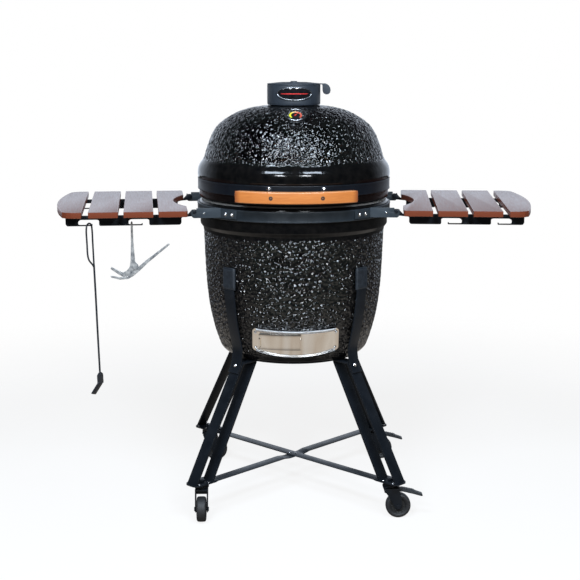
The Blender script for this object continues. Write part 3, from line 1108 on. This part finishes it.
piece("hinge_bolts_high", merge(*[dome_bolt((x, 271.0, 888), (0, 1, 0), 4.2, 3.6, True, False) for x in (-38, 0, 38)]), BRIGHT, "lid", slot="zinc", sharp=40)

# ------------------------------------------------------------------ stand
piece("stand_ring", lathe(fillet([(409.7, 120), (409.7, 182), (414.5, 182), (414.5, 120)], 1.2, 4), 144, True), BLACK, "base", replaces=("support_ring",), slot="powder_black", sharp=40)


def strap_outline(points, t):
    n_, other = len(points), []
    for i in range(n_):
        p, q = points[max(0, i - 1)], points[min(n_ - 1, i + 1)]
        dx, dy = q[0] - p[0], q[1] - p[1]
        l = math.hypot(dx, dy)
        other.append((points[i][0] - dy / l * t, points[i][1] + dx / l * t))
    return [tuple(p) for p in points] + other[::-1]


FACE = spline([(237.4, 381), (226.8, 399.5), (221.8, 420), (219.3, 440), (220.3, 455), (229.8, 492), (240.6, 545), (246.7, 593), (249, 612), (249.6, 672)], 5.0)
for corner_name, angle in (("front_right", -45), ("rear_right", 45), ("rear_left", 135), ("front_left", -135)):
    G = turn(angle)
    outer = fillet([(219.1, 411.3, 3), (395.3, 104.4, 5), (396.3, 102.2, 0.5), (390.6, 102.2, 0.5), (389.0, 104.6, 3), (213.3, 411.3, 3)], 3, 4)
    inner = fillet([(165, 404.6, 3), (330, 104.8, 4), (331.2, 102.2, 0.5), (337.0, 102.2, 0.5), (336, 104.8, 3), (171, 404.6, 3)], 3, 4)
    parts = [bevelled(*prism(outer, -18, 18, "XZ"), 1.1, 3), bevelled(*prism(inner, -18, 18, "XZ"), 1.1, 3)]
    foot = fillet([(318, -22, 6), (330, -26, 8), (392, -26, 14), (402, -14, 12), (402, 14, 12), (392, 26, 14), (330, 26, 8), (318, 22, 6)], 8, 5)
    parts.append(bevelled(*prism(foot, 100.1, 103.9), 0.8, 2))
    topplate = fillet([(136, -18), (217, -18), (217, 18), (136, 18)], 4, 4)
    parts.append(bevelled(*prism(topplate, 404.3, 409.2), 0.8, 2))
    piece("stand_leg_" + corner_name, merge(*parts), BLACK, "base", G, replaces=("leg_" + corner_name,), slot="powder_black", sharp=38)
    # cradle arm: a formed strap with turned-down side flanges
    arm = strap_outline(FACE.tolist(), -4.6)
    arm_mesh = bevelled(*prism(arm, -18, 18, "XZ"), 1.0, 2, 40)
    # broad rubber-faced pad, hollowed a little across its face
    pv, pf = [], []
    zs_, ys_ = np.linspace(613.4, 673.8, 15), np.linspace(-22.4, 22.4, 13)

    def pad_depth(y, zz):
        ey = max(0.0, abs(y) / 22.4 - 0.80) / 0.20
        ez = max(0.0, abs(zz - 643.6) / 30.2 - 0.84) / 0.16
        edge = min(1.0, (ey**2 + ez**2) ** 0.5)
        dish = 0.9 * (1 - (y / 22.4) ** 2) * (1 - ((zz - 643.6) / 30.2) ** 2)
        return 255.3 - 3.4 * (1 - math.sqrt(max(0.0, 1 - edge**2))) - dish

    def squeeze(y, zz):
        return y * (1 - 0.05 * (abs(zz - 643.6) / 30.2) ** 6), 643.6 + (zz - 643.6) * (1 - 0.04 * (abs(y) / 22.4) ** 6)

    for zz in zs_:
        for y in ys_:
            yy, z2 = squeeze(y, zz)
            pv.append((pad_depth(y, zz), yy, z2))
    nf = len(pv)
    for zz in zs_:
        for y in ys_:
            yy, z2 = squeeze(y, zz)
            pv.append((248.8, yy, z2))
    ny = len(ys_)
    for i in range(len(zs_) - 1):
        for k in range(ny - 1):
            a, b, c, d = i * ny + k, i * ny + k + 1, (i + 1) * ny + k + 1, (i + 1) * ny + k
            pf += [[a, b, c, d], [nf + d, nf + c, nf + b, nf + a]]
    rim = [k for k in range(ny)] + [i * ny + ny - 1 for i in range(1, len(zs_))] + [(len(zs_) - 1) * ny + k for k in range(ny - 2, -1, -1)] + [i * ny for i in range(len(zs_) - 2, 0, -1)]
    for a, b in zip(rim, rim[1:] + rim[:1]):
        pf.append([a, b, nf + b, nf + a])
    pad = bevelled(pv, pf, 0)
    arm_count = len(arm_mesh[1])
    both = merge(arm_mesh, pad)
    piece("stand_arm_" + corner_name, both, [BLACK, PADRUB], "base", G, face_mat=[0] * arm_count + [1] * len(pad[1]), replaces=("arm_" + corner_name,), slot="powder_black", sharp=40)
    heads = [dome_bolt((229.6, 0, 402.0), (0.90, 0, 0.42), 5.4, 4.4, True, False, True)]
    heads += [dome_bolt((352, y, 103.9), (0, 0, 1), 3.2, 2.6, False, False, False) for y in (-19.5, 19.5)]
    heads += [dome_bolt((385, y, 103.9), (0, 0, 1), 3.2, 2.6, False, False, False) for y in (-19.5, 19.5)]
    piece("stand_bolts_" + corner_name, merge(*heads), BRIGHT, "base", G, slot="zinc", sharp=40)

bar = fillet([(-333, -15), (333, -15), (333, 15), (-333, 15)], 5, 5)
piece("cross_bar_upper", bevelled(*prism(bar, 96.8, 99.6), 0.7, 2), STRAP, "base", turn(-45), replaces=("brace_upper",), slot="powder_black", sharp=40)
dip = fillet([(-332.6, 96.8, 0.5), (-52, 96.8, 16), (-30, 93.4, 16), (30, 93.4, 16), (52, 96.8, 16), (332.6, 96.8, 0.5), (332.6, 99.6, 0.5), (52, 99.6, 16), (30, 96.2, 16), (-30, 96.2, 16), (-52, 99.6, 16), (-332.6, 99.6, 0.5)], 4, 4)
piece("cross_bar_lower", bevelled(*prism(dip, -15, 15, "XZ"), 0.7, 2), STRAP, "base", turn(45), replaces=("brace_lower",), slot="powder_black", sharp=40)
piece("cross_rivets", merge(*[dome_bolt((x, y, 99.6), (0, 0, 1), 3.4, 2.4, False, False, False) for x, y in ((-9, 4), (6, -4))]), BRIGHT, "base", slot="zinc", sharp=40)

# ------------------------------------------------------------------ casters
for name, cx, cy, heading, brake in (("front_left", -1, -1, -90, False), ("front_right", 1, -1, 0, True), ("rear_left", -1, 1, 0, False), ("rear_right", 1, 1, 0, True)):
    C = shift(cx * 360 * math.sqrt(0.5), cy * 360 * math.sqrt(0.5), 0) @ turn(heading)
    t, r, side = 22.0, 34.0, 14.3
    cheek = fillet([(-17.5, 88, 1), (-17.5, 79, 8), (-3, 60, 18), (t - 10, r - 2, 10), (t - 5, r - 9.5, 8), (t + 5, r - 9, 8), (t + 9.6, r, 8), (t + 8, 56, 20), (24.5, 80, 8), (24.5, 88, 1)], 6, 5)
    parts = [bevelled(*prism(cheek, a, b, "XZ"), 0.7, 2, 40) for a, b in ((side, side + 3), (-side - 3, -side))]
    crown = fillet([(-20, -17.3, 6), (25, -17.3, 3), (25, 17.3, 3), (-20, 17.3, 6)], 5, 5)
    parts.append(bevelled(*prism(crown, 84, 88.4), 0.9, 2))
    parts.append(bevelled(*block(-16, 11, -side - 0.5, side + 0.5, 71.5, 84.5), 2.2, 3))
    parts.append(lathe([(87.6, 0)] + fillet([(87.6, 0), (87.6, 18.4, 1), (90.6, 19.9, 1.5), (92.8, 19.9, 0.6), (93.2, 18.6, 0.4), (94.4, 18.6, 0.4), (94.8, 19.9, 0.6), (98.6, 19.9, 1.2), (99.5, 17, 1), (99.5, 5.4, 0.5), (104.6, 5.2, 0.5), (104.6, 0)], 1, 3, closed=False)[1:-1] + [(104.6, 0)], 48))
    parts.append(cyl((0, 0, 104.4), (0, 0, 109.8), 8.8, 6, 0.8))
    parts.append(cyl((t, -side - 5.3, r), (t, side + 5.3, r), 3.9, 20, 0.6))
    parts += [cyl((t, s * (side + 2.9), r), (t, s * (side + 5.4), r), 6.4, 6, 0.6) for s in (-1, 1)]
    piece("caster_yoke_" + name, merge(*parts), BLACK, "caster_" + name, C, replaces=("caster_fork_" + name,), slot="powder_black", sharp=38)
    W = C @ shift(t, 0, r) @ turn(90, "X")
    tread = lathe(fillet([(-10.2, 22.6, 0.6), (-11.8, 24.6, 1.2), (-12.9, 28.4, 3), (-10.4, 33.2, 4), (-4, 33.95, 8), (4, 33.95, 8), (10.4, 33.2, 4), (12.9, 28.4, 3), (11.8, 24.6, 1.2), (10.2, 22.6, 0.6)], 1, 5), 96, True)
    hub = lathe(fillet([(-10.6, 4.6, 0.4), (-10.9, 8.6, 0.6), (-9.2, 9.4, 0.8), (-7.4, 12, 2), (-7.2, 19, 2), (-10.0, 21.2, 0.8), (-10.2, 23.2, 0.6), (10.2, 23.2, 0.6), (10.0, 21.2, 0.8), (7.2, 19, 2), (7.4, 12, 2), (9.2, 9.4, 0.8), (10.9, 8.6, 0.6), (10.6, 4.6, 0.4)], 1, 4), 96, True)
    ribs = [apply_matrix(bevelled(*block(11, 20.5, -1.3, 1.3, -8.6, 8.6), 0.4, 1)[0], turn(60 * k)) for k in range(6)]
    rib_f = bevelled(*block(11, 20.5, -1.3, 1.3, -8.6, 8.6), 0.4, 1)[1]
    hub_all = merge(hub, *[(v, rib_f) for v in ribs])
    piece("caster_tyre_" + name, merge(tread, hub_all), [TYRE, HUB], "wheel_" + name, W, face_mat=[0] * len(tread[1]) + [1] * len(hub_all[1]), replaces=("caster_wheel_" + name,), slot="wheel_rubber", sharp=38)
    if brake:
        pedal = fillet([(15.2, 80.8, 2), (33, 82.4, 8), (64, 75.4, 4), (68, 72.4, 3), (87, 65.4, 2), (88.4, 62, 1.5), (85, 60.6, 2), (64, 66.6, 6), (33, 74.1, 8), (15.2, 73.2, 2)], 3, 4)
        v, f = bevelled(*prism(pedal, -10.8, 10.8, "XZ"), 1.2, 2, 40)
        grip_ribs = []
        for k in range(4):
            x = 40 + k * 6.2
            zt = 80.7 - (x - 40) * 0.226
            rv, rf = bevelled(*block(-1.1, 1.1, -8.6, 8.6, -0.6, 1.0), 0.4, 1)
            grip_ribs.append((apply_matrix(rv, shift(x, 0, zt) @ turn(12.7, "Y")), rf))
        piece("brake_lever_" + name, merge((v, f), *grip_ribs), PEDAL, "brake_" + name, C, replaces=("caster_brake_" + name,), slot="pedal", sharp=38)

# ------------------------------------------------------------------ side tables
TX, TZ, TOE, THALF, TTOP, THICK, RAIL = 284.0, 826.0, 5.1, 246.0, 835.0, 15.5, 182.0
for side, s in (("left", -1), ("right", 1)):
    body = "table_" + side
    G = shift(s * TX, 0, 0) @ turn(-s * TOE)
    M = lambda pts: [(s * p[0],) + tuple(p[1:]) for p in pts]
    for i, (a, b) in enumerate(((19, 94.5), (108, 185), (199.3, 275.7), (293, 339))):
        if i == 0:
            out = [(b, -THALF, 3), (b, THALF, 3), (a, THALF, 10), (a, 133, 8)]
            arc = [(-234 + math.sqrt(285 * 285 - v_ * v_), v_, 0) for v_ in np.linspace(133, -133, 41)[1:-1]]
            out += arc + [(a, -133, 8), (a, -THALF, 10)]
        elif i == 3:
            Rr = (THALF * THALF + 28 * 28) / 56
            cc = b + 28 - Rr
            out = [(a, THALF, 3), (a, -THALF, 3), (b - 22, -THALF, 12), (b - 7, -THALF + 5, 12)]
            out += [(cc + math.sqrt(Rr * Rr - v_ * v_), v_, 6) for v_ in np.linspace(-THALF + 17, THALF - 17, 31)]
            out += [(b - 7, THALF - 5, 12), (b - 22, THALF, 12)]
        else:
            out = [(a, -THALF, 3), (b, -THALF, 3), (b, THALF, 3), (a, THALF, 3)]
        outline = fillet(M(out), 2, 6)
        v, f = bevelled(*prism(outline, TTOP - THICK + 0.1, TTOP), 1.1, 3, 40)
        piece("%s_slat_%d" % (side, i + 1), (v, f), SLATWOOD, body, G, replaces=("table_%s_slat_%d" % (side, i + 1),), slot="table_wood", grain=v[:, [1, 0, 2]], sharp=40)
    zt, z0 = TTOP - THICK - 0.3, 791.5

    def hook(u):
        return [(u, z0, 5), (u, 806, 6), (u + 5, 808, 6), (u + 48, 808, 6), (u + 54, 804, 6), (u + 54, z0 + 3.4, 4), (u + 20, z0 + 3.2, 2), (u + 20, z0 + 5.7, 1), (u + 17, z0 + 5.7, 1), (u + 17, z0, 2.5)]

    rail = [(34, 797, 5), (38, z0, 5)] + hook(119) + hook(250) + [(333, z0, 5), (337, 797, 5), (337, zt, 2), (17, zt, 2), (6, 831.3, 4), (-4, 831.8, 4), (-6.4, 828, 4), (-5.4, 821, 4), (4, 814, 6), (34, 811, 4)]
    rail = fillet(M(rail), 3, 5)
    parts = [bevelled(*prism(rail, v0 - 1.5, v0 + 1.5, "XZ"), 0.5, 2, 40) for v0 in (-RAIL, RAIL)]
    parts += [cyl((0, -RAIL, TZ), (0, -RAIL - 14.9, TZ), 4.3, 24, 0.7), cyl((0, RAIL, TZ), (0, RAIL + 14.9, TZ), 4.3, 24, 0.7)]
    for u0, u1 in ((64, 84), (306, 326)):
        parts.append(bevelled(*prism(fillet(M([(u0, -RAIL - 1), (u1, -RAIL - 1), (u1, RAIL + 1), (u0, RAIL + 1)]), 1, 3), zt - 3, zt - 0.05), 0.5, 2))
    piece(side + "_table_frame", merge(*parts), BLACK, body, G, replaces=("table_%s_frame" % side,), slot="powder_black", sharp=38)
    for end, f_, reach in (("front", -1, 69), ("rear", 1, 120)):
        slot_pts = [(5.1 * math.cos(-math.pi * k / 10), 826 + 5.1 * math.sin(-math.pi * k / 10), 0) for k in range(11)]
        plate_o = [(-reach, 809.6, 0.5), (3, 809.6, 6), (8, 815, 5), (8, 832, 2.4), (5.1, 832, 1.2)] + slot_pts[0:] + [(-5.1, 835.8, 1.6), (-reach, 835.8, 0.5)]
        v0 = f_ * 191.0
        plate_m = bevelled(*prism(fillet(M(plate_o), 2, 5), v0 - 1.5, v0 + 1.5, "XZ"), 0.45, 2, 40)
        world_plate = (apply_matrix(plate_m[0], G), plate_m[1])
        p = G @ Vector((s * -reach, v0, 0))
        a0 = math.atan2(p.y, p.x)
        sweep = math.radians(12) * f_ * s
        inner_r, outer_r = 268.35, 271.5
        frm, to = a0 - sweep * 0.12, a0 + sweep
        rows_ = [frm + (to - frm) * k / 14 for k in range(15)]
        sec = [(outer_r * math.cos(a), outer_r * math.sin(a)) for a in rows_] + [(inner_r * math.cos(a), inner_r * math.sin(a)) for a in rows_[::-1]]
        flange = bevelled(*prism(sec, 809.6, 832.9), 0.5, 2, 40)
        piece("table_seat_%s_%s" % (end, side), merge(world_plate, flange), BAND, "base", replaces=("table_bracket_%s_%s" % (end, side),), slot="band", sharp=38)
        bolt_parts = []
        for k in (0.42, 0.78):
            a = frm + (to - frm) * k
            bolt_parts.append(dome_bolt((271.5 * math.cos(a), 271.5 * math.sin(a), 821.2), (math.cos(a), math.sin(a), 0), 3.9, 3.6, True, False, True))
        tip = G @ Vector((s * -26, v0 + f_ * 1.5, 822))
        d = (G.to_3x3() @ Vector((0, f_, 0))).normalized()
        bolt_parts.append(dome_bolt(tuple(tip), tuple(d), 2.2, 1.6, False, False, False))
        piece("table_seat_bolts_%s_%s" % (end, side), merge(*bolt_parts), BRIGHT, "base", slot="zinc", sharp=40)

# ------------------------------------------------------------------ hanging tools
L = shift(-TX, 0, 0) @ turn(TOE)
PK = L @ shift(-276, -182, 798.6) @ turn(-1.5, "Y") @ turn(-35)
eye = spline([(0, 11, -119), (0, 11, -90), (0, 11, -50), (0, 11, -18), (0, 8.5, -5), (0, 0, 0), (0, -9.5, -4), (0, -13.5, -17), (0, -13.6, -50), (0, -13, -84), (0, -8.5, -97), (0, 6, -112), (0, 10.6, -119.5)], 2.0)
blade = bevelled(*prism(fillet([(-1, -437, 1), (23, -437, 1), (23, -412, 4), (16, -406, 3), (6, -406, 3), (-1, -412, 4)], 2, 4), -1.6, 1.6, "YZ"), 0.5, 2)
foot = bevelled(*prism(fillet([(-12, -37), (12, -37), (12, 0.4), (-12, 0.4)], 2.5, 4), -1.6, 1.6, "YZ"), 0.5, 2)
foot = (apply_matrix(foot[0], shift(0, 11, -434) @ turn(28, "Y") @ turn(-20, "X")), foot[1])
shank = tube(spline([(0, 11, -114), (0, 11.2, -200), (0, 10.8, -300), (0, 11, -413)], 8), 2.6, 14)
piece("poker_rod", merge(tube(eye, 2.3, 12), shank, blade, foot), STRAP, "poker", PK, replaces=("poker",), slot="powder_black", sharp=40)
GR = L @ shift(-165, -182, 798.6)
wirehook = tube(spline([(0, 6.8, -8), (0, 8.0, -3), (0, 7.2, 0.2), (0, 3, 1.2), (0, -3, 0.6), (0, -8.0, -2.5)], 1.0), 2.1, 12)
grip_body = fillet([(-2.6, 2.4, 2), (2.6, 2.4, 2), (3.4, -50, 20), (7, -103, 8), (15, -111, 6), (16, -123, 6), (6, -132, 8), (-8, -139, 10), (-25, -143, 10), (-36, -137, 8), (-58, -121, 2), (-56, -115, 2), (-35, -127, 8), (-26, -131, 6), (-16, -127, 8), (-8, -117, 8), (-5, -100, 10), (-3, -50, 20)], 3, 5)
gb = bevelled(*prism(grip_body, -9.8, -6.2, "XZ"), 0.9, 3, 40)
piece("gripper_fixed", merge(wirehook, gb), TOOLSTEEL, "gripper", GR, replaces=("gripper_body",), slot="chrome", sharp=40)
lever = fillet([(96, -54, 2), (99, -58, 2), (40, -106, 20), (18, -127, 10), (2, -140, 10), (-12, -148, 8), (-34, -149.5, 8), (-58, -143, 1.5), (-58, -138, 1.5), (-34, -143, 8), (-14, -141, 8), (-4, -134, 8), (8, -122, 10), (34, -100, 20)], 3, 5)
gl = bevelled(*prism(lever, -13.8, -10.15, "XZ"), 0.9, 3, 40)
rivet = cyl((8, -14.6, -120), (8, -13.4, -120), 4.2, 24, 0.5)
piece("gripper_moving", merge(gl, rivet), TOOLSTEEL, "gripper_lever", GR, replaces=("gripper_lever",), slot="chrome", sharp=40)

# ------------------------------------------------------------------ floor, light, camera
world = bpy.data.worlds.new("studio")
bpy.context.scene.world = world
world.use_nodes = True
wt = world.node_tree
wt.nodes.clear()


def wn(kind, **props):
    node = wt.nodes.new("ShaderNode" + kind)
    for k, val in props.items():
        setattr(node, k, val)
    return node


tc = wn("TexCoord")
sep = wn("SeparateXYZ")
wt.links.new(tc.outputs["Generated"], sep.inputs[0])
back = wn("MapRange", interpolation_type="SMOOTHSTEP")
back.inputs["From Min"].default_value, back.inputs["From Max"].default_value = 0.12, 1.0
back.inputs["To Min"].default_value, back.inputs["To Max"].default_value = 0.0, 1.0
wt.links.new(sep.outputs["Y"], back.inputs["Value"])
back_ramp = wn("ValToRGB")
back_ramp.color_ramp.elements[0].color = (0.012, 0.0125, 0.013, 1)
back_ramp.color_ramp.elements[1].color = (1.02, 1.13, 1.30, 1)
low_sky = wn("MapRange", interpolation_type="SMOOTHSTEP")
low_sky.inputs["From Min"].default_value, low_sky.inputs["From Max"].default_value = 0.15, 0.60
low_sky.inputs["To Min"].default_value, low_sky.inputs["To Max"].default_value = 1.0, 0.0
wt.links.new(sep.outputs["Z"], low_sky.inputs["Value"])
both_sky = wn("Math", operation="MULTIPLY")
wt.links.new(back.outputs[0], both_sky.inputs[0])
wt.links.new(low_sky.outputs[0], both_sky.inputs[1])
wt.links.new(both_sky.outputs[0], back_ramp.inputs[0])
lp = wn("LightPath")
white = wn("Background")
white.inputs["Color"].default_value, white.inputs["Strength"].default_value = (1, 1, 1, 1), 1.0
glow = wn("Background")
wt.links.new(back_ramp.outputs[0], glow.inputs["Color"])
glow.inputs["Strength"].default_value = 1.0
mixer = wn("MixShader")
wt.links.new(lp.outputs["Is Camera Ray"], mixer.inputs[0])
wt.links.new(glow.outputs[0], mixer.inputs[1])
wt.links.new(white.outputs[0], mixer.inputs[2])
wout = wn("OutputWorld")
wt.links.new(mixer.outputs[0], wout.inputs["Surface"])

FL = Mat("pale_floor")
geo = FL.n("NewGeometry")
dist = FL.n("VectorMath", {0: (geo, "Position")}, operation="LENGTH")
fade = FL.n("MapRange", {"Value": (dist, "Value"), "From Min": 1.1, "From Max": 2.6}, interpolation_type="SMOOTHSTEP")
grainf = FL.ramp(FL.noise((geo, "Position"), 3.0, 4), [(0.2, (0.78, 0.78, 0.78)), (0.9, (0.82, 0.82, 0.82))])
pale = FL.n("BsdfDiffuse", {"Color": FL.mix(0.86, grainf, (0, 0, 0, 1))})
base_glow = FL.n("Emission", {"Color": (1, 1, 1, 1), "Strength": 0.86})
lit = FL.n("AddShader", {0: pale, 1: base_glow})
clear = FL.n("BsdfTransparent", {"Color": (1, 1, 1, 1)})
shown = FL.n("MixShader", {0: fade, 1: lit, 2: clear})
near = FL.n("MapRange", {"Value": (dist, "Value"), "From Min": 0.92, "From Max": 1.7}, interpolation_type="SMOOTHSTEP")
under = FL.n("MapRange", {"Value": (dist, "Value"), "From Min": 0.34, "From Max": 0.60}, interpolation_type="SMOOTHSTEP")
lit_near = FL.mix(under, (0.12, 0.115, 0.11, 1), (0.57, 0.535, 0.495, 1))
seen = FL.mix(near, lit_near, (0.08, 0.08, 0.08, 1))
warm = FL.n("Emission", {"Color": seen, "Strength": 1.0})
fill = FL.n("Emission", {"Color": (0.55, 0.54, 0.53, 1), "Strength": 1.0})
ray = FL.n("LightPath")
other = FL.n("MixShader", {0: (ray, "Is Glossy Ray"), 1: fill, 2: warm})
final = FL.n("MixShader", {0: (ray, "Is Camera Ray"), 1: other, 2: shown})
FL.t.links.new(final.outputs[0], FL.out.inputs["Surface"])
fm = bpy.data.meshes.new("floor")
n_f = 24
fv = [(-6 + 12 * i / n_f, -6 + 12 * k / n_f, -0.0005) for i in range(n_f + 1) for k in range(n_f + 1)]
ff = [[i * (n_f + 1) + k, (i + 1) * (n_f + 1) + k, (i + 1) * (n_f + 1) + k + 1, i * (n_f + 1) + k + 1] for i in range(n_f) for k in range(n_f)]
fm.from_pydata(fv, [], ff)
fm.materials.append(FL.m)
floor = bpy.data.objects.new("floor", fm)
bpy.context.scene.collection.objects.link(floor)


def softbox(name, azimuth, elevation, distance, width, height, radiance, tint=(1, 1, 1)):
    a, e = math.radians(azimuth), math.radians(elevation)
    d = Vector((math.sin(a) * math.cos(e), -math.cos(a) * math.cos(e), math.sin(e)))
    data = bpy.data.lights.new(name, "AREA")
    data.shape, data.size, data.size_y = "RECTANGLE", width, height
    data.energy = radiance * math.pi * width * height
    data.color = tint
    o = bpy.data.objects.new(name, data)
    bpy.context.scene.collection.objects.link(o)
    o.location = Vector((0, 0, 0.85)) + d * distance
    o.rotation_mode = "QUATERNION"
    o.rotation_quaternion = d.to_track_quat("Z", "Y")
    return o


softbox("key_left", -27, 43, 3.2, 1.15, 0.60, 38.0, (0.74, 0.86, 1.0))
softbox("key_right", 24, 43, 3.2, 1.05, 0.60, 38.0, (0.74, 0.86, 1.0))
softbox("low_left", -17, 22, 3.6, 0.62, 0.32, 82.0, (0.88, 0.94, 1.0))
softbox("low_right", 13, 22, 3.6, 0.62, 0.32, 82.0, (0.90, 0.96, 1.0))

cam_data = bpy.data.cameras.new("camera")
cam_data.lens, cam_data.sensor_width = 1288.0 / 580.0 * 36.0, 36.0
cam_data.clip_start, cam_data.clip_end = 0.1, 50
cam = bpy.data.objects.new("camera", cam_data)
bpy.context.scene.collection.objects.link(cam)
CAM_AZ, CAM_D = -1.5, 3.572
cam.location = (CAM_D * math.sin(math.radians(CAM_AZ)), -CAM_D * math.cos(math.radians(CAM_AZ)) + DY / 1000, 1.2586)
cam.rotation_euler = (math.radians(90 - 10.77), 0, math.radians(CAM_AZ + 0.167))
bpy.context.scene.camera = cam
bpy.context.scene.view_settings.view_transform = "Standard"
bpy.context.scene.view_settings.look = "None"
